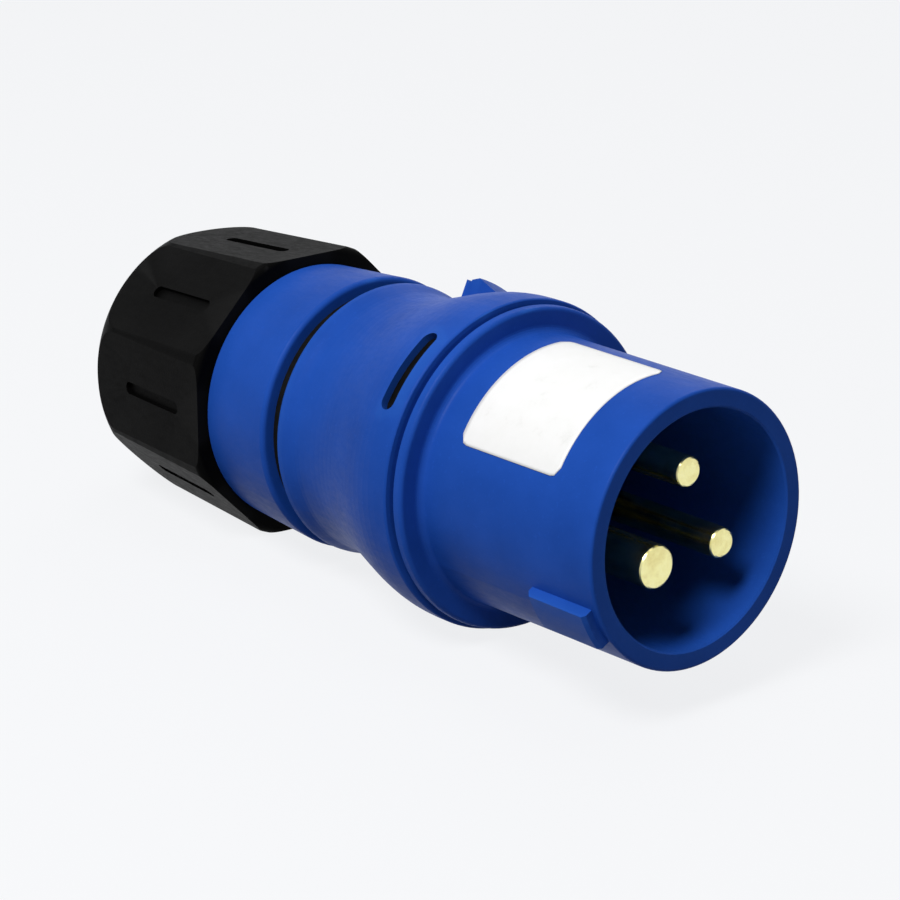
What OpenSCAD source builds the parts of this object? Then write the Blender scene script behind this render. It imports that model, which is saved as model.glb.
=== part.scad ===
// Industrial pin and sleeve plug, 16 A, two poles and earth.
// The plug lies on its side: +X points out of the shroud, +Z is up, and the
// origin is on the plug's axis in the plane of the shroud's rim.
// Angles "from the key" are measured about the axis, from the key on the
// shroud, which is also the earth pin's side.

/* [Stance] */
// Angle that the plug has rolled about its axis from key-down
roll = 60; // [0:5:180]
// Number of flats on the gland nut
nut_flats = 8; // [6:1:12]

/* [Shroud] */
// Outside radius of the shroud at its rim
shroud_r = 22.2; // [21.5:0.1:22.6]
// Wall of the shroud at its rim
shroud_wall = 3.1; // [2.5:0.1:3.4]
// Depth from the rim to the face of the contact carrier
shroud_depth = 37.3; // [34:0.1:38]
// Outside radius of the collar behind the shroud
collar_r = 26.6; // [25:0.1:27]
// Width of the key
key_w = 7; // [5:0.5:9]
// Length of the key
key_len = 13; // [8:0.5:20]
// Height of the key over the shroud
key_h = 1.8; // [1:0.1:2.5]

/* [Contacts] */
// Radius of the circle that the pins stand on
pin_circle_r = 8.75; // [8:0.05:9]
// Radius of the line and neutral pins
pole_pin_r = 2.5; // [2:0.05:2.6]
// Radius of the earth pin
earth_pin_r = 3.5; // [3:0.05:3.6]
// Distance from the rim to the line and neutral pins' tips
pole_pin_setback = 2; // [1:0.1:8]
// Distance from the rim to the earth pin's tip
earth_pin_setback = 0.7; // [0.5:0.1:6]

/* [Housing] */
// Largest radius of the rear housing
flare_r = 27.35; // [26.8:0.05:27.6]
// Radius at the waist
waist_r = 22.4; // [21.8:0.1:22.8]
// Radius of the lip behind the waist
lip_r = 23.3; // [22.8:0.1:23.6]
// Wall of the rear housing
housing_wall = 2.7; // [2.2:0.1:3]
// Width of the release window
window_w = 3; // [2:0.1:3.4]

/* [Gland] */
// Radius over the crests of the gland's thread
thread_r = 20.8; // [20.4:0.05:21]
// Distance from the axis to a flat of the nut, at its front
nut_flat = 24.25; // [23.9:0.05:24.6]
// Radius over the corners of the nut, at its front
nut_corner_r = 25.8; // [25.4:0.1:26.2]
// Radius of the rounding at the back of the nut
nut_round = 10; // [8:0.5:11]
// Radius of the cable bore in the grommet's insert
cable_r = 5.5; // [4:0.5:6.5]

/* [Hidden] */
$fn = 96;

plug_blue = [0.11, 0.24, 0.62];
carrier_black = [0.07, 0.07, 0.08];
brass = [0.80, 0.70, 0.38];
steel = [0.66, 0.67, 0.69];
rubber = [0.05, 0.05, 0.05];
nylon_grey = [0.25, 0.26, 0.27];

// Stations along the axis, negative towards the cable.
collar_x = -38.4;
joint_x = -40.4;
spigot_end_x = -51;
flare_x = -44;
waist_x = -68;
lip_x = -74.6;
neck_x = -77.6;
neck_end_x = -94.5;
thread_end_x = -113;
nut_front_x = -94.8;
nut_end_x = -131.5;
finger_end_x = -126.5;

running = 0.05;
shroud_back_r = shroud_r + 0.25;
shroud_in_r = shroud_r - shroud_wall;
bore_back_r = shroud_in_r - 0.35;
spigot_r = 24;
spigot_in_r = 20.45;
spigot_gap = 0.05;
// The joint shows as a groove, outside the ring where the two housings meet.
joint_r = 25.4;
joint_gap = 0.8;
lug_r = 24.9;
lug_x = [-49.5, -47.5];
lug_angles = [0, 120, 240];
lug_span = 14;
neck_r = 23.6;
neck_back_r = 22.6;
neck_plug_r = 19.6;
thread_root_r = thread_r - 0.9;
cage_r = 17;
finger_in_r = 13.2;
chamber_r = 16.5;
cage_stop_x = -104;
finger_tip_r = 12.6;
grommet_in_r = 8.5;
grommet_x = [-124.6, -105];
slip_r = [9.6, 14.45];
slip_x = [-129.1, -127.6];
gasket_r = 21.3;
nut_back_r = 24.3;
nut_front_round = 1.2;
mouth_r = 11.5;
seat_r = slip_r[1] + running;
nut_bore_end_x = -114.6;
window_mid = -74.5;
window_span = 31;
window_len = 2 * flare_r * sin(window_span / 2);
window_x = -45.4;
catch_mid = 180;
catch_span = 76;
// The flats lie in one plane with the flare, so the plug rests on both.
flat_tilt = atan((flare_r - nut_flat) / (flare_x - nut_front_x));
ring_angles = [-120, 120, 0];
pin_setbacks = [pole_pin_setback, pole_pin_setback, earth_pin_setback];
pin_radii = [pole_pin_r, pole_pin_r, earth_pin_r];
// Each pin is thicker where it is seated in the carrier, behind a relief.
seat_step = 0.25;
boss_x = -shroud_depth + 1.6;
relief_x = boss_x + 0.2;
barrel_r = 4.6;
barrel_x = [-60.5, -43.5];
socket_wall = 1.7;
wire_r = 2.3;
wire_hole_end_x = -50;
access_r = 2.9;
skirt_r = 18.6;
foot_r = 23.4;
foot_t = 2.4;
tongue_r = [21.3, 23.2];
screw_x = -56.5;
retainer_x = -62.3;
screw_r = 2;

// A smooth S from one [radius, station] to another.
function wave(p, q, n = 8) = [for (i = [0:n])
    [p[0] + (q[0] - p[0]) * (1 - cos(180 * i / n)) / 2, p[1] + (q[1] - p[1]) * i / n]];

// A rounded corner of a profile, about a centre [radius, station].
function bend(c, rad, from, to, n = 5) = [for (i = [0:n])
    let (a = from + (to - from) * i / n) c + rad * [cos(a), sin(a)]];

// Lays the plug on its side. Inside it the key points down.
module lying() rotate([-roll, 0, 0]) children();

// Spins a [radius, station] profile about the axis, from an angle off the key.
module spun(start = 0, span = 360)
    rotate([0, 90, 0]) rotate([0, 0, start]) rotate_extrude(angle = span) children();

// A round bar along the axis between two stations.
module bar(r, x0, x1) translate([x0, 0, 0]) rotate([0, 90, 0]) cylinder(h = x1 - x0, r = r);

// Turns what is drawn below the axis to an angle from the key.
module from_key(a) rotate([a, 0, 0]) children();

// A block of a ring: radii, stations, and its middle and span as angles.
module ring_block(r0, r1, x0, x1, mid, span)
    spun(mid - span / 2, span) polygon([[r0, x0], [r1, x0], [r1, x1], [r0, x1]]);

// A bar with round ends that runs across the axis, pointing outwards at an angle
// from the key: its width, its length, and the radii it reaches between.
module radial_slot(w, len, r0, r1, mid) {
    side = (len - w) / 2;
    from_key(mid) translate([window_x, 0, -r1]) linear_extrude(r1 - r0)
        polygon(concat(bend([0, side], w / 2, 0, 180, 12), bend([0, -side], w / 2, 180, 360, 12)));
}

// ---- Shroud ----

function shroud_profile() = concat(
    [[shroud_in_r + 0.3, 0]],
    bend([shroud_r - 0.5, -0.5], 0.5, 90, 0),
    bend([shroud_back_r + 1.2, collar_x + 1.2], 1.2, 180, 270),
    bend([collar_r - 0.7, collar_x - 0.7], 0.7, 90, 0),
    [[collar_r, joint_x + 0.3], [collar_r - 0.3, joint_x], [spigot_r, joint_x],
     [spigot_r, joint_x - 0.8], [spigot_r - 1.25, joint_x - 0.8],
     [spigot_r - 1.25, joint_x - 2.4], [spigot_r, joint_x - 2.4],
     [spigot_r, spigot_end_x + 0.6], [spigot_r - 0.4, spigot_end_x],
     [spigot_in_r, spigot_end_x], [spigot_in_r, joint_x], [bore_back_r, joint_x],
     [bore_back_r, -shroud_depth], [shroud_in_r, -0.3]]);

module key() {
    top = -(shroud_r + key_h);
    intersection() {
        spun() polygon([[20.5, -1.2], [shroud_r + key_h - 0.5, -1.2], [shroud_r + key_h, -1.9],
            [shroud_r + key_h, -key_len - 0.4], [shroud_r + key_h - 0.9, -key_len - 1.2],
            [20.5, -key_len - 1.2]]);
        rotate([90, 0, 90]) translate([0, 0, -key_len - 2]) linear_extrude(key_len + 2)
            polygon([[-key_w / 2, -20.6], [-key_w / 2, top + 0.6], [-key_w / 2 + 0.5, top - 1],
                [key_w / 2 - 0.5, top - 1], [key_w / 2, top + 0.6], [key_w / 2, -20.6]]);
    }
}

module front_shroud() color(plug_blue) lying() difference() {
    union() {
        spun() polygon(shroud_profile());
        key();
        for (a = lug_angles) ring_block(spigot_r - 1, lug_r, lug_x[0], lug_x[1], a, lug_span);
    }
    ring_block(spigot_in_r - 1, spigot_r + 1, spigot_end_x - 1, window_x + window_w / 2 - 0.1,
        window_mid, window_span + 9);
}

// ---- Contacts ----

// The snap tongue of the bayonet: a springy leaf, and the catch in the window.
module tongue() {
    ring_block(tongue_r[0], tongue_r[1], spigot_end_x - 1.2, window_x + window_w / 2 - 0.3, window_mid,
        window_span - 4);
    intersection() {
        radial_slot(window_w - 0.6, window_len - 0.6, 19, 30, window_mid);
        ring_block(22.5, flare_r - 1.3, window_x - 4, window_x + 4, window_mid, window_span + 10);
    }
}

module contact_carrier() color(carrier_black) lying() difference() {
    union() {
        spun() polygon([[0, -shroud_depth], [bore_back_r - 0.45, -shroud_depth],
            [bore_back_r - running, -shroud_depth - 0.4], [bore_back_r - running, joint_x],
            [spigot_in_r - running, joint_x], [spigot_in_r - running, flare_x], [0, flare_x]]);
        spun() polygon([[skirt_r, barrel_x[1]], [spigot_in_r - running, barrel_x[1]],
            [spigot_in_r - running, spigot_end_x], [foot_r, spigot_end_x],
            [foot_r, spigot_end_x - foot_t], [skirt_r, spigot_end_x - foot_t]]);
        for (i = [0:2]) from_key(ring_angles[i]) translate([0, 0, -pin_circle_r]) {
            bar(pin_radii[i] + 2, -38, boss_x);
            bar(barrel_r + socket_wall, barrel_x[0] + 0.5, barrel_x[1]);
        }
        for (i = [0:2]) from_key(ring_angles[i])
            translate([barrel_x[0] + 4, -0.9, -19.2]) cube([13, 1.8, 17]);
        bar(3.9, barrel_x[0] + 0.5, barrel_x[1]);
        tongue();
    }
    for (i = [0:2]) from_key(ring_angles[i]) translate([0, 0, -pin_circle_r]) {
        bar(pin_radii[i] + seat_step + running, -45, 0);
        bar(barrel_r + running, barrel_x[0] - 1, barrel_x[1] + running);
    }
    for (a = ring_angles) from_key(a) translate([screw_x, 0, -24.5]) cylinder(h = 14, r = access_r);
    bar(1.6, barrel_x[0], wire_hole_end_x);
}

// A turned contact: round-nosed pin, relief, seat and drilled terminal barrel.
module contact(i) {
    r = pin_radii[i];
    tip = -pin_setbacks[i];
    lying() from_key(ring_angles[i]) translate([0, 0, -pin_circle_r]) difference() {
        spun() polygon(concat([[0, tip]], bend([r - 0.9, tip - 0.9], 0.9, 90, 0),
            [[r, relief_x], [r - seat_step, relief_x], [r - seat_step, relief_x - 0.7],
             [r + seat_step, relief_x - 0.7], [r + seat_step, barrel_x[1]], [barrel_r, barrel_x[1]],
             [barrel_r, barrel_x[0] + 0.4], [barrel_r - 0.4, barrel_x[0]], [0, barrel_x[0]]]));
        bar(wire_r, barrel_x[0] - 1, wire_hole_end_x);
        translate([screw_x, 0, -8]) cylinder(h = 8, r = screw_r);
    }
}

module line_pin() color(brass) contact(0);
module neutral_pin() color(brass) contact(1);
module earth_pin() color(brass) contact(2);

// A pressure pad between the terminal screw and the wire.
module pad(i) lying() from_key(ring_angles[i])
    translate([screw_x, 0, -pin_circle_r - 2.1]) cylinder(h = 0.8, r = screw_r - 0.15);

module line_pad() color(steel) pad(0);
module neutral_pad() color(steel) pad(1);
module earth_pad() color(steel) pad(2);

// A slotted terminal screw, pointing at the axis.
module terminal_screw(i) lying() from_key(ring_angles[i]) translate([screw_x, 0, 0]) difference() {
    union() {
        translate([0, 0, -pin_circle_r - 4.8]) cylinder(h = 2.7, r = screw_r);
        translate([0, 0, -pin_circle_r - 7]) cylinder(h = 2.2, r = 2.8);
    }
    translate([-4, -0.4, -pin_circle_r - 8]) cube([8, 0.8, 2]);
}

module line_screw() color(steel) terminal_screw(0);
module neutral_screw() color(steel) terminal_screw(1);
module earth_screw() color(steel) terminal_screw(2);

module pin_retainer() color(carrier_black) lying() difference() {
    union() {
        for (a = ring_angles) from_key(a) {
            translate([0, 0, -pin_circle_r]) bar(6.2, retainer_x, barrel_x[0]);
            translate([retainer_x, -5, -pin_circle_r])
                cube([barrel_x[0] - retainer_x, 10, pin_circle_r]);
        }
    }
    for (a = ring_angles) from_key(a) translate([0, 0, -pin_circle_r])
        bar(3, retainer_x - 1, barrel_x[0] + 1);
    bar(1.7, retainer_x - 1, barrel_x[0] + 1);
}

module retainer_screw() color(steel) difference() {
    union() {
        bar(1.55, retainer_x, -50.5);
        spun() polygon([[0, retainer_x - 1.8], [2.4, retainer_x - 1.8], [3, retainer_x - 1.2],
            [3, retainer_x], [0, retainer_x]]);
    }
    translate([retainer_x - 2, -0.4, -4]) cube([1.2, 0.8, 8]);
}

// ---- Housing ----

module housing_seal() color(rubber) spun() translate([spigot_r - 0.6, joint_x - 1.6]) circle(r = 0.63);

function housing_profile() = concat(
    [[spigot_r + spigot_gap, joint_x], [joint_r, joint_x], [joint_r, joint_x - joint_gap],
     [flare_r - 0.9, joint_x - joint_gap]],
    bend([flare_r - 0.5, joint_x - joint_gap - 0.5], 0.5, 60, 0),
    wave([flare_r, flare_x], [waist_r, waist_x], 16),
    wave([waist_r, waist_x - 1.5], [lip_r, lip_x + 0.8], 5),
    [[lip_r - 0.5, lip_x], [neck_plug_r, lip_x]],
    [[neck_plug_r, waist_x + 1.5]],
    [for (p = wave([waist_r, waist_x + 1.5], [flare_r, flare_x], 12)) if (p[1] < -54)
        [p[0] - housing_wall, p[1]]],
    [[23.1, -54], [spigot_r + spigot_gap, -54]]);

// The ridge that a socket's lid hooks behind: steep behind, sloping in front.
module lid_catch() spun(catch_mid - catch_span / 2, catch_span)
    polygon(concat([[21, -65.2], [26.3, -64.9]],
        bend([26.5, -64.3], 0.6, 180, 90), [[27.1, -62], [26.6, -60.5], [24.9, -55], [21, -55]]));

// The L-shaped ways in the bore that the spigot's lugs slide and turn into.
module bayonet_way(a) {
    ring_block(spigot_r - 1, lug_r + 0.1, lug_x[0] - 0.3, joint_x + 1, a - 20, lug_span + 2);
    ring_block(spigot_r - 1, lug_r + 0.1, lug_x[0] - 0.3, lug_x[1] + 0.1, a - 10, lug_span + 22);
}

module rear_housing() color(plug_blue) lying() difference() {
    union() {
        spun() polygon(housing_profile());
        difference() {
            lid_catch();
            spun() polygon([[0, -70], [21.4, -70], [21.4, -60], [23, -50], [0, -50]]);
        }
    }
    for (a = lug_angles) bayonet_way(a);
    radial_slot(window_w, window_len, 20, 30, window_mid);
}

// ---- Gland ----

module neck_gasket() color(rubber) ring_block(neck_plug_r, gasket_r, neck_x, lip_x, 180, 360);

module gland_neck() color(plug_blue) lying() spun() polygon(concat(
    [[chamber_r, -67], [neck_plug_r - 0.5, -67], [neck_plug_r, -67.5], [neck_plug_r, neck_x]],
    bend([neck_r - 0.8, neck_x - 0.8], 0.8, 90, 0),
    bend([neck_back_r - 0.5, neck_end_x + 0.5], 0.5, 0, -90),
    [[thread_r, neck_end_x], [thread_r, neck_end_x - 3], [thread_root_r, neck_end_x - 3.6],
     [thread_root_r, thread_end_x + 0.8], [thread_root_r - 0.8, thread_end_x],
     [cage_r + running, thread_end_x], [cage_r + running, cage_stop_x], [chamber_r, cage_stop_x]]));

module clamp_cage() color(nylon_grey) lying() difference() {
    spun() polygon([[finger_in_r, cage_stop_x - 0.2], [cage_r, cage_stop_x - 0.2],
        [cage_r, thread_end_x], [18.6, thread_end_x], [18.6, thread_end_x - 1.4],
        [16.6, thread_end_x - 1.4], [16, -121], [14.5, finger_end_x],
        [finger_tip_r, finger_end_x], [finger_tip_r, -125], [finger_in_r, -124.4]]);
    for (i = [0:3]) rotate([45 * i, 0, 0])
        translate([finger_end_x - 1, -1, -20]) cube([10.5, 2, 40]);
}

module cable_grommet() color(rubber) spun() polygon([[grommet_in_r, grommet_x[1]],
    [finger_in_r - 0.5, grommet_x[1]], [finger_in_r, grommet_x[1] - 0.5],
    [finger_in_r, grommet_x[0] + 0.6], [finger_in_r - 0.7, grommet_x[0]],
    [grommet_in_r, grommet_x[0]]]);

module grommet_insert() color(rubber) spun() polygon([[cable_r, grommet_x[1] - 0.8],
    [cable_r + 0.8, grommet_x[1]], [grommet_in_r, grommet_x[1]], [grommet_in_r, grommet_x[0]],
    [cable_r + 0.8, grommet_x[0]], [cable_r, grommet_x[0] + 0.8]]);

module slip_ring() color(nylon_grey) ring_block(slip_r[0], slip_r[1], slip_x[0], slip_x[1], 180, 360);

module on_flats() for (i = [0:nut_flats - 1]) rotate([360 * i / nut_flats, 0, 0])
    translate([nut_front_x, 0, -nut_flat]) rotate([0, flat_tilt, 0]) children();

module grip_slot() {
    x0 = -22;
    x1 = -7.5;
    w = 2.2;
    translate([x0, -w / 2, -1]) cube([x1 - x0, w, 1.8]);
    for (x = [x0, x1]) translate([x, 0, -1]) cylinder(h = 1.8, d = w);
}

// Rounds off the outer corner of a profile, on the rim's side (1) or the
// cable's side (-1), about a centre [radius, station].
module rounded(c, rad, side) difference() {
    children();
    translate(c) difference() {
        translate([0, side > 0 ? 0 : -2 * rad]) square(2 * rad);
        circle(r = rad);
    }
}

// The nut: its flats are cut last, so they run out in the rounded back.
module gland_nut() color(carrier_black) difference() {
    spun() rounded([nut_back_r - nut_round, nut_end_x + nut_round], nut_round, -1)
        rounded([nut_corner_r - nut_front_round, nut_front_x - nut_front_round], nut_front_round, 1)
        polygon(concat([[thread_r + running, nut_front_x - 0.5], [thread_r + 0.6, nut_front_x],
            [nut_corner_r, nut_front_x], [nut_corner_r, nut_front_x - nut_front_round],
            [nut_back_r, nut_end_x + nut_round], [nut_back_r, nut_end_x], [mouth_r, nut_end_x]],
            bend([mouth_r, nut_end_x + 2], 2, 270, 180),
            [[mouth_r - 2, slip_x[0] - 0.15], [seat_r, slip_x[0] - 0.15], [seat_r, slip_x[1] + 0.4],
             [thread_r + running, nut_bore_end_x]]));
    on_flats() translate([-60, -20, -10]) cube([120, 40, 10]);
    on_flats() grip_slot();
}

front_shroud();
contact_carrier();
line_pin();
neutral_pin();
earth_pin();
line_pad();
neutral_pad();
earth_pad();
line_screw();
neutral_screw();
earth_screw();
pin_retainer();
retainer_screw();
housing_seal();
rear_housing();
neck_gasket();
gland_neck();
clamp_cage();
cable_grommet();
grommet_insert();
slip_ring();
gland_nut();
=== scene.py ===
import math

import bmesh
import bpy
from mathutils import Matrix, Vector

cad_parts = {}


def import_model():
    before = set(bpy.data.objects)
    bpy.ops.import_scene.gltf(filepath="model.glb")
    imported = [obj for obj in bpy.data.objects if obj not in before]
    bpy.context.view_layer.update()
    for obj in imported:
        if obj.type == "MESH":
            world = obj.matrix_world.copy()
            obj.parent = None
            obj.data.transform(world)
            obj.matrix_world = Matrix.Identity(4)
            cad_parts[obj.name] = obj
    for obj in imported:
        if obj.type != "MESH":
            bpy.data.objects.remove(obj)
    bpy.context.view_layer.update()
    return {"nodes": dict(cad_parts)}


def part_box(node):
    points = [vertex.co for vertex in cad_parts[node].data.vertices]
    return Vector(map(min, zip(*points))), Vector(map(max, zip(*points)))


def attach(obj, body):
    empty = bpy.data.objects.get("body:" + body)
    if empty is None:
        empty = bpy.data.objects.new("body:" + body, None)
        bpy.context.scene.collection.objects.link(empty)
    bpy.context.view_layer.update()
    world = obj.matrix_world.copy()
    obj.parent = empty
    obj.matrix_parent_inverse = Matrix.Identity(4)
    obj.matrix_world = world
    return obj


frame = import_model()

nodes = frame["nodes"]

# All lengths are in metres. The plug's axis is X, its mouth faces +X and +Z is up.
# Angles on the plug are in degrees about its axis, from -Y towards +Z.

# The camera looks at the plug from its mouth's side, a little from above.
VIEW_AZIMUTH = 49.7
VIEW_ELEVATION = 17.8
VIEW_DISTANCE = 0.500
VIEW_TARGET = (-0.060, 0.0, 0.0)
VIEW_LENS = 121.2  # in millimetres
VIEW_SENSOR = 36.0  # its width in millimetres
VIEW_SHIFT = (0.01, -0.01322)

# Places on the plug. The shroud widens from its rim to its collar.
SHROUD_R = 0.0222
SHROUD_BACK_R = 0.02245
SHROUD_LEN = 0.0372
FLARE_X = -0.044

# The label on the shroud. Its back is sunk a little into the wall.
LABEL_X = (-0.0320, -0.0100)
LABEL_ANGLES = (27.0, 96.0)
LABEL_CORNER = 0.0016
LABEL_THICK = 0.00012
LABEL_SINK = 0.00004
LABEL_STEPS_ALONG = 28
LABEL_STEPS_AROUND = 56

# The gland's thread: root and crest radii, and the stations each ridge runs between.
THREAD_PITCH = 0.003
NECK_THREAD_R = (0.01985, 0.02072)
NECK_THREAD_X = (-0.0984, -0.1114)
NUT_THREAD_R = (0.02090, 0.02008)
NUT_THREAD_X = (-0.0969, -0.1129)
THREAD_FOOT = 0.00075  # half the ridge's width at its root
THREAD_TIP = 0.00030  # half its width at its crest
THREAD_STEPS = 72  # steps in one turn
THREAD_FADE = 12  # steps over which the ridge rises at each end

# The stage. The floor's own glow is what a camera sees of it, and its bounce is
# what lights the plug from below.
BACKGROUND = (0.905, 0.913, 0.930)
FLOOR_GLOW = 0.92
FLOOR_SHADE = 0.10
FLOOR_BOUNCE = 0.3
FLOOR_HALF = 3
FLOOR_GAP = 0.00005
WORLD_LIGHT = 0.10

# Each lamp's name, place, aim, diameter and power in watts.
LAMPS = (
    ("key", (0.12, -0.60, 0.78), (-0.04, 0, 0), 0.40, 9.6),
    ("top", (-0.10, 0.15, 0.95), (-0.06, 0, 0), 0.5, 1.2),
    ("back", (-0.45, 0.75, 0.70), (-0.06, 0, 0), 0.6, 1.6),
)


# ---- Node helpers ----

def seen_directly(tree):
    """1 for rays that show the background: camera, mirror-like and see-through ones."""
    path = tree.nodes.new("ShaderNodeLightPath")
    shown = path.outputs["Is Camera Ray"]
    for ray in ("Is Glossy Ray", "Is Transmission Ray"):
        either = tree.nodes.new("ShaderNodeMath")
        either.operation = "MAXIMUM"
        tree.links.new(shown, either.inputs[0])
        tree.links.new(path.outputs[ray], either.inputs[1])
        shown = either.outputs[0]
    return shown


class Shader:
    """A material's node tree, with short calls for the nodes used here."""

    def __init__(self, name):
        self.material = bpy.data.materials.new(name)
        self.material.use_nodes = True
        self.tree = self.material.node_tree
        self.bsdf = self.tree.nodes["Principled BSDF"]
        self.coords = self.node("ShaderNodeTexCoord").outputs["Object"]

    def node(self, kind):
        return self.tree.nodes.new(kind)

    def link(self, a, b):
        self.tree.links.new(a, b)

    def noise(self, scale, detail, rough, stretch=None):
        made = self.node("ShaderNodeTexNoise")
        made.inputs["Scale"].default_value = scale
        made.inputs["Detail"].default_value = detail
        made.inputs["Roughness"].default_value = rough
        source = self.coords
        if stretch:
            mapping = self.node("ShaderNodeMapping")
            mapping.inputs["Scale"].default_value = stretch
            self.link(self.coords, mapping.inputs["Vector"])
            source = mapping.outputs["Vector"]
        self.link(source, made.inputs["Vector"])
        return made.outputs["Fac"]

    def ramp(self, value, stops):
        """A colour ramp over (place, colour) stops."""
        made = self.node("ShaderNodeValToRGB")
        elements = made.color_ramp.elements
        while len(elements) < len(stops):
            elements.new(0.5)
        for element, (place, colour) in zip(elements, stops):
            element.position = place
            element.color = (*colour, 1)
        self.link(value, made.inputs["Fac"])
        return made.outputs["Color"]

    def span(self, value, low, high, start=0.0, end=1.0):
        """Maps start..end to low..high, and holds the ends."""
        made = self.node("ShaderNodeMapRange")
        made.inputs["From Min"].default_value = start
        made.inputs["From Max"].default_value = end
        made.inputs["To Min"].default_value = low
        made.inputs["To Max"].default_value = high
        self.link(value, made.inputs["Value"])
        return made.outputs["Result"]

    def mix(self, amount, colour, other):
        """From a linked colour to a fixed one, by a linked amount."""
        made = self.node("ShaderNodeMix")
        made.data_type = "RGBA"
        self.link(amount, made.inputs[0])
        self.link(colour, made.inputs[6])
        made.inputs[7].default_value = (*other, 1)
        return made.outputs[2]

    def scaled(self, value, factor):
        made = self.node("ShaderNodeMath")
        made.operation = "MULTIPLY"
        self.link(value, made.inputs[0])
        made.inputs[1].default_value = factor
        return made.outputs[0]

    def edges(self, low=0.52, high=0.62):
        """Where the surface is a raised edge, from 0 to 1."""
        geometry = self.node("ShaderNodeNewGeometry")
        return self.span(geometry.outputs["Pointiness"], 0, 1, low, high)

    def bump(self, height, strength, distance):
        made = self.node("ShaderNodeBump")
        made.inputs["Strength"].default_value = strength
        made.inputs["Distance"].default_value = distance
        self.link(height, made.inputs["Height"])
        self.link(made.outputs["Normal"], self.bsdf.inputs["Normal"])

    def finish(self, colour, roughness):
        self.link(colour, self.bsdf.inputs["Base Color"])
        self.link(roughness, self.bsdf.inputs["Roughness"])
        return self.material


# ---- Materials ----

def moulded_plastic(name, dark, light, rough, grain, worn, shine):
    """Satin moulded plastic: faint clouding, fine spark-eroded grain, rubbed edges."""
    s = Shader(name)
    clouds = s.noise(55, 5, 0.6)
    colour = s.ramp(clouds, [(0.30, dark), (0.72, light)])
    specks = s.span(s.noise(1500, 2, 0.5), 0, 0.35, 0.62, 0.78)
    colour = s.mix(specks, colour, tuple(c * 1.18 for c in light))
    colour = s.mix(s.scaled(s.edges(), 0.5), colour, worn)
    scuffs = s.noise(420, 6, 0.7, stretch=(1.0, 2.5, 2.5))
    roughness = s.span(scuffs, rough - 0.07, rough + 0.09, 0.3, 0.7)
    s.bump(s.noise(2600, 3, 0.6), grain, 0.00006)
    s.bsdf.inputs["Specular IOR Level"].default_value = shine
    return s.finish(colour, roughness)


def blue_plastic():
    return moulded_plastic("blue_plastic", dark=(0.0095, 0.060, 0.335), light=(0.015, 0.080, 0.43),
                           rough=0.42, grain=0.32, worn=(0.025, 0.12, 0.50), shine=0.05)


def black_plastic():
    return moulded_plastic("black_plastic", dark=(0.0010, 0.0010, 0.0010),
                           light=(0.0025, 0.0025, 0.0025), rough=0.46, grain=0.45,
                           worn=(0.012, 0.012, 0.012), shine=0.02)


def grey_nylon():
    return moulded_plastic("grey_nylon", dark=(0.040, 0.041, 0.043), light=(0.062, 0.063, 0.065),
                           rough=0.48, grain=0.3, worn=(0.12, 0.12, 0.122), shine=0.25)


def rubber():
    """Matt rubber with a dusty bloom."""
    s = Shader("black_rubber")
    bloom = s.noise(260, 6, 0.7)
    colour = s.ramp(bloom, [(0.35, (0.003, 0.003, 0.003)), (0.75, (0.010, 0.010, 0.0095))])
    s.bump(s.noise(1800, 3, 0.6), 0.35, 0.00008)
    s.bsdf.inputs["Specular IOR Level"].default_value = 0.05
    return s.finish(colour, s.span(bloom, 0.62, 0.85))


def brass():
    """Turned brass: fine rings round each pin, and a slight tarnish."""
    s = Shader("brass")
    tarnish = s.noise(240, 6, 0.65)
    colour = s.ramp(tarnish, [(0.30, (0.78, 0.68, 0.28)), (0.55, (0.92, 0.87, 0.42)),
                              (0.80, (0.96, 0.93, 0.56))])
    s.bump(s.noise(900, 2, 0.5, stretch=(6.0, 0.05, 0.05)), 0.18, 0.00003)
    s.bsdf.inputs["Metallic"].default_value = 1.0
    return s.finish(colour, s.span(tarnish, 0.16, 0.30))


def steel():
    """Zinc-plated steel."""
    s = Shader("steel")
    plating = s.noise(500, 5, 0.6)
    colour = s.ramp(plating, [(0.3, (0.42, 0.43, 0.45)), (0.7, (0.62, 0.63, 0.64))])
    s.bump(s.noise(2200, 2, 0.5), 0.15, 0.00003)
    s.bsdf.inputs["Metallic"].default_value = 1.0
    return s.finish(colour, s.span(plating, 0.25, 0.40))


def label_film():
    """Smooth white film with light soiling."""
    s = Shader("label_film")
    soil = s.noise(160, 6, 0.7)
    colour = s.ramp(soil, [(0.20, (0.68, 0.68, 0.66)), (0.42, (0.84, 0.84, 0.83)),
                           (0.8, (0.88, 0.88, 0.88))])
    s.bump(s.noise(700, 3, 0.5), 0.1, 0.00004)
    return s.finish(colour, s.span(soil, 0.30, 0.45))


# Each material slot of the record: what makes it, and the CAD nodes that have it.
FINISH = {
    "blue_plastic": (blue_plastic, ("front_shroud", "rear_housing", "gland_neck")),
    "black_plastic": (black_plastic, ("contact_carrier", "pin_retainer", "gland_nut")),
    "grey_nylon": (grey_nylon, ("clamp_cage", "slip_ring")),
    "black_rubber": (rubber, ("housing_seal", "neck_gasket", "cable_grommet",
                              "grommet_insert")),
    "brass": (brass, ("line_pin", "neutral_pin", "earth_pin")),
    "steel": (steel, ("line_pad", "neutral_pad", "earth_pad", "line_screw",
                      "neutral_screw", "earth_screw", "retainer_screw")),
}


def dress_nodes():
    """Gives every CAD node its material, and returns the materials by slot."""
    materials = {}
    for slot, (make, names) in FINISH.items():
        materials[slot] = make()
        for name in names:
            mesh = nodes[name].data
            mesh.materials.clear()
            mesh.materials.append(materials[slot])
    return materials


# ---- Pieces ----

def ring_point(x, r, degrees):
    """A point at a station, a radius and an angle from -Y towards +Z."""
    a = math.radians(degrees)
    return Vector((x, -r * math.cos(a), r * math.sin(a)))


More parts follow.
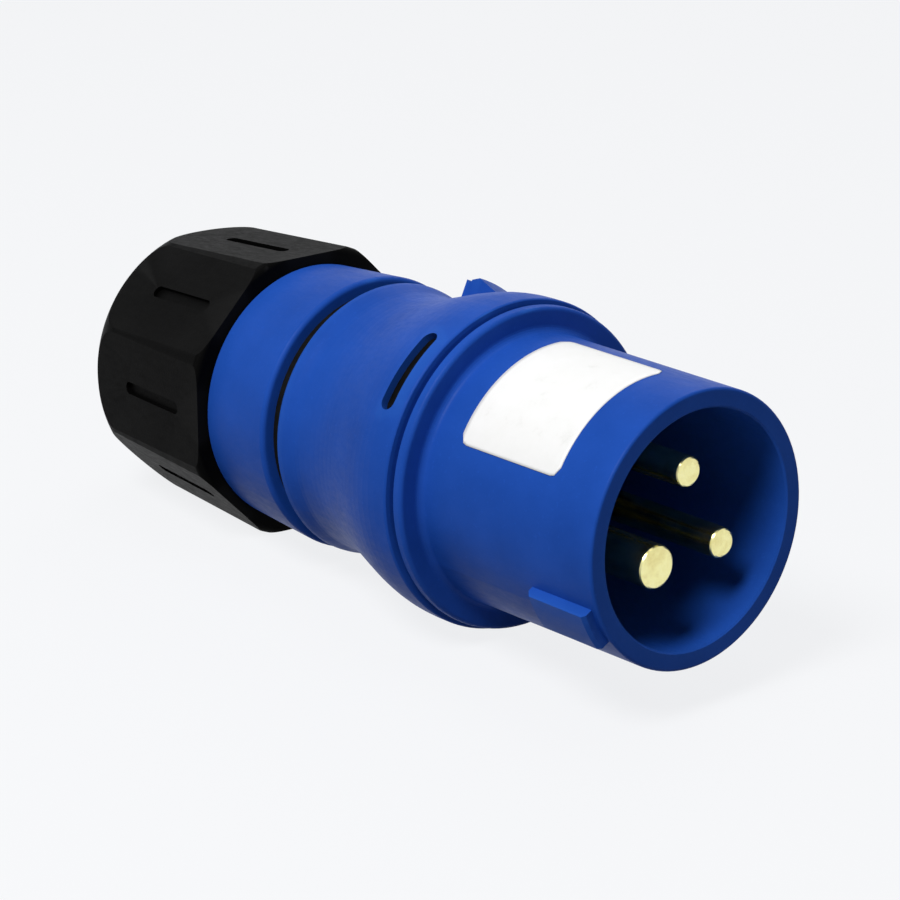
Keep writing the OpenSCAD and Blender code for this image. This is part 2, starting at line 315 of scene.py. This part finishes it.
def add_piece(name, bm, material, body):
    """Makes a piece of a closed bmesh, and rides it on a body."""
    bmesh.ops.recalc_face_normals(bm, faces=bm.faces)
    mesh = bpy.data.meshes.new(name)
    bm.to_mesh(mesh)
    bm.free()
    mesh.materials.append(material)
    piece = bpy.data.objects.new(name, mesh)
    bpy.context.scene.collection.objects.link(piece)
    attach(piece, body)
    return piece


def label():
    """The bare white label: a film wrapped on the shroud, with rounded corners."""
    rows, cols = LABEL_STEPS_ALONG + 1, LABEL_STEPS_AROUND + 1
    x0, x1 = LABEL_X
    a0, a1 = LABEL_ANGLES
    bm = bmesh.new()
    outer, inner = [], []
    for i in range(rows):
        u = i / LABEL_STEPS_ALONG
        inset = 0.0
        for edge in (u * (x1 - x0), (1 - u) * (x1 - x0)):
            if edge < LABEL_CORNER:
                drop = LABEL_CORNER - edge
                inset = LABEL_CORNER - math.sqrt(max(0.0, LABEL_CORNER ** 2 - drop ** 2))
        turn = math.degrees(inset / SHROUD_R)
        x = x0 + (x1 - x0) * u
        r = SHROUD_R + (SHROUD_BACK_R - SHROUD_R) * (-x / SHROUD_LEN)
        angles = [a0 + turn + (a1 - a0 - 2 * turn) * j / LABEL_STEPS_AROUND
                  for j in range(cols)]
        outer.append([bm.verts.new(ring_point(x, r + LABEL_THICK, a)) for a in angles])
        inner.append([bm.verts.new(ring_point(x, r - LABEL_SINK, a)) for a in angles])
    for i in range(rows - 1):
        for j in range(cols - 1):
            bm.faces.new((outer[i][j], outer[i][j + 1], outer[i + 1][j + 1], outer[i + 1][j]))
            bm.faces.new((inner[i][j], inner[i + 1][j], inner[i + 1][j + 1], inner[i][j + 1]))
    rim = [(i, 0) for i in range(rows)] + [(rows - 1, j) for j in range(1, cols)]
    rim += [(i, cols - 1) for i in range(rows - 2, -1, -1)]
    rim += [(0, j) for j in range(cols - 2, 0, -1)]
    for (i, j), (m, n) in zip(rim, rim[1:] + rim[:1]):
        bm.faces.new((outer[i][j], inner[i][j], inner[m][n], outer[m][n]))
    for face in bm.faces:
        face.smooth = True
    add_piece("label", bm, label_film(), "plug_body")


def thread(name, body, material, radii, stations):
    """A right-hand ridge from a root radius to a crest radius, between two stations."""
    root, crest = radii
    steps = round((stations[0] - stations[1]) / THREAD_PITCH * THREAD_STEPS)
    bm = bmesh.new()
    rows = []
    for i in range(steps + 1):
        angle = 360 * i / THREAD_STEPS
        x = stations[0] - THREAD_PITCH * i / THREAD_STEPS
        height = min(1.0, (i + 0.5) / THREAD_FADE, (steps - i + 0.5) / THREAD_FADE)
        tip = root + (crest - root) * height
        section = ((root, THREAD_FOOT), (tip, THREAD_TIP), (tip, -THREAD_TIP),
                   (root, -THREAD_FOOT))
        rows.append([bm.verts.new(ring_point(x + dx, r, angle)) for r, dx in section])
    for p, q in zip(rows, rows[1:]):
        for j in range(4):
            k = (j + 1) % 4
            bm.faces.new((p[j], p[k], q[k], q[j]))
    bm.faces.new(rows[0][::-1])
    bm.faces.new(rows[-1])
    add_piece(name, bm, material, body)


# ---- Stage ----

def floor_material():
    """Pale floor: most of its brightness is its own, so the shadow on it is faint."""
    s = Shader("floor")
    glow = s.node("ShaderNodeEmission")
    glow.inputs["Color"].default_value = (*BACKGROUND, 1)
    glow.inputs["Strength"].default_value = FLOOR_GLOW
    shade = s.node("ShaderNodeBsdfDiffuse")
    shade.inputs["Color"].default_value = (*(FLOOR_SHADE * c for c in BACKGROUND), 1)
    shown = s.node("ShaderNodeAddShader")
    s.link(glow.outputs[0], shown.inputs[0])
    s.link(shade.outputs[0], shown.inputs[1])
    bounce = s.node("ShaderNodeBsdfDiffuse")
    bounce.inputs["Color"].default_value = (*(FLOOR_BOUNCE * c for c in BACKGROUND), 1)
    choice = s.node("ShaderNodeMixShader")
    s.link(seen_directly(s.tree), choice.inputs[0])
    s.link(bounce.outputs[0], choice.inputs[1])
    s.link(shown.outputs[0], choice.inputs[2])
    s.link(choice.outputs[0], s.tree.nodes["Material Output"].inputs["Surface"])
    return s.material


def floor():
    """The floor touches the flare and the nut's lowest flat, as the plug lies."""
    flare_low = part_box("rear_housing")[0]
    nut_low, nut_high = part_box("gland_nut")
    tilt = math.atan2(nut_low[2] - flare_low[2], FLARE_X - nut_high[0])
    h = FLOOR_HALF
    mesh = bpy.data.meshes.new("floor")
    mesh.from_pydata([(-h, -h, 0), (h, -h, 0), (h, h, 0), (-h, h, 0)], [], [(0, 1, 2, 3)])
    mesh.materials.append(floor_material())
    made = bpy.data.objects.new("floor", mesh)
    bpy.context.scene.collection.objects.link(made)
    made.matrix_world = (Matrix.Translation((FLARE_X, 0, flare_low[2] - FLOOR_GAP))
                         @ Matrix.Rotation(tilt, 4, "Y"))


def lamp(name, place, aim, size, power):
    """A round lamp at a place, turned to face its aim."""
    data = bpy.data.lights.new(name, "AREA")
    data.shape = "DISK"
    data.size = size
    data.energy = power
    made = bpy.data.objects.new(name, data)
    made.location = place
    made.rotation_euler = (Vector(aim) - Vector(place)).to_track_quat("-Z", "Y").to_euler()
    bpy.context.scene.collection.objects.link(made)


def world():
    """Pale where it is seen, and a weak light on the plug."""
    made = bpy.data.worlds.new("studio")
    made.use_nodes = True
    tree = made.node_tree
    background = tree.nodes["Background"]
    background.inputs["Color"].default_value = (*BACKGROUND, 1)
    level = tree.nodes.new("ShaderNodeMapRange")
    level.inputs["To Min"].default_value = WORLD_LIGHT
    level.inputs["To Max"].default_value = 1.0
    tree.links.new(seen_directly(tree), level.inputs["Value"])
    tree.links.new(level.outputs["Result"], background.inputs["Strength"])
    bpy.context.scene.world = made


def camera():
    """Looks at the target from its azimuth, elevation and distance."""
    a, e = math.radians(VIEW_AZIMUTH), math.radians(VIEW_ELEVATION)
    back = Vector((math.sin(a) * math.cos(e), -math.cos(a) * math.cos(e), math.sin(e)))
    data = bpy.data.cameras.new("camera")
    data.sensor_width = VIEW_SENSOR
    data.lens = VIEW_LENS
    data.shift_x, data.shift_y = VIEW_SHIFT
    data.clip_start = 0.01
    made = bpy.data.objects.new("camera", data)
    made.location = Vector(VIEW_TARGET) + back * VIEW_DISTANCE
    made.rotation_euler = (-back).to_track_quat("-Z", "Y").to_euler()
    bpy.context.scene.collection.objects.link(made)
    bpy.context.scene.camera = made


# ---- The scene ----

materials = dress_nodes()
label()
thread("neck_thread", "plug_body", materials["blue_plastic"],
       NECK_THREAD_R, NECK_THREAD_X)
thread("nut_thread", "gland_nut", materials["black_plastic"],
       NUT_THREAD_R, NUT_THREAD_X)
floor()
camera()
world()
for settings in LAMPS:
    lamp(*settings)

bpy.context.scene.view_settings.view_transform = "Standard"
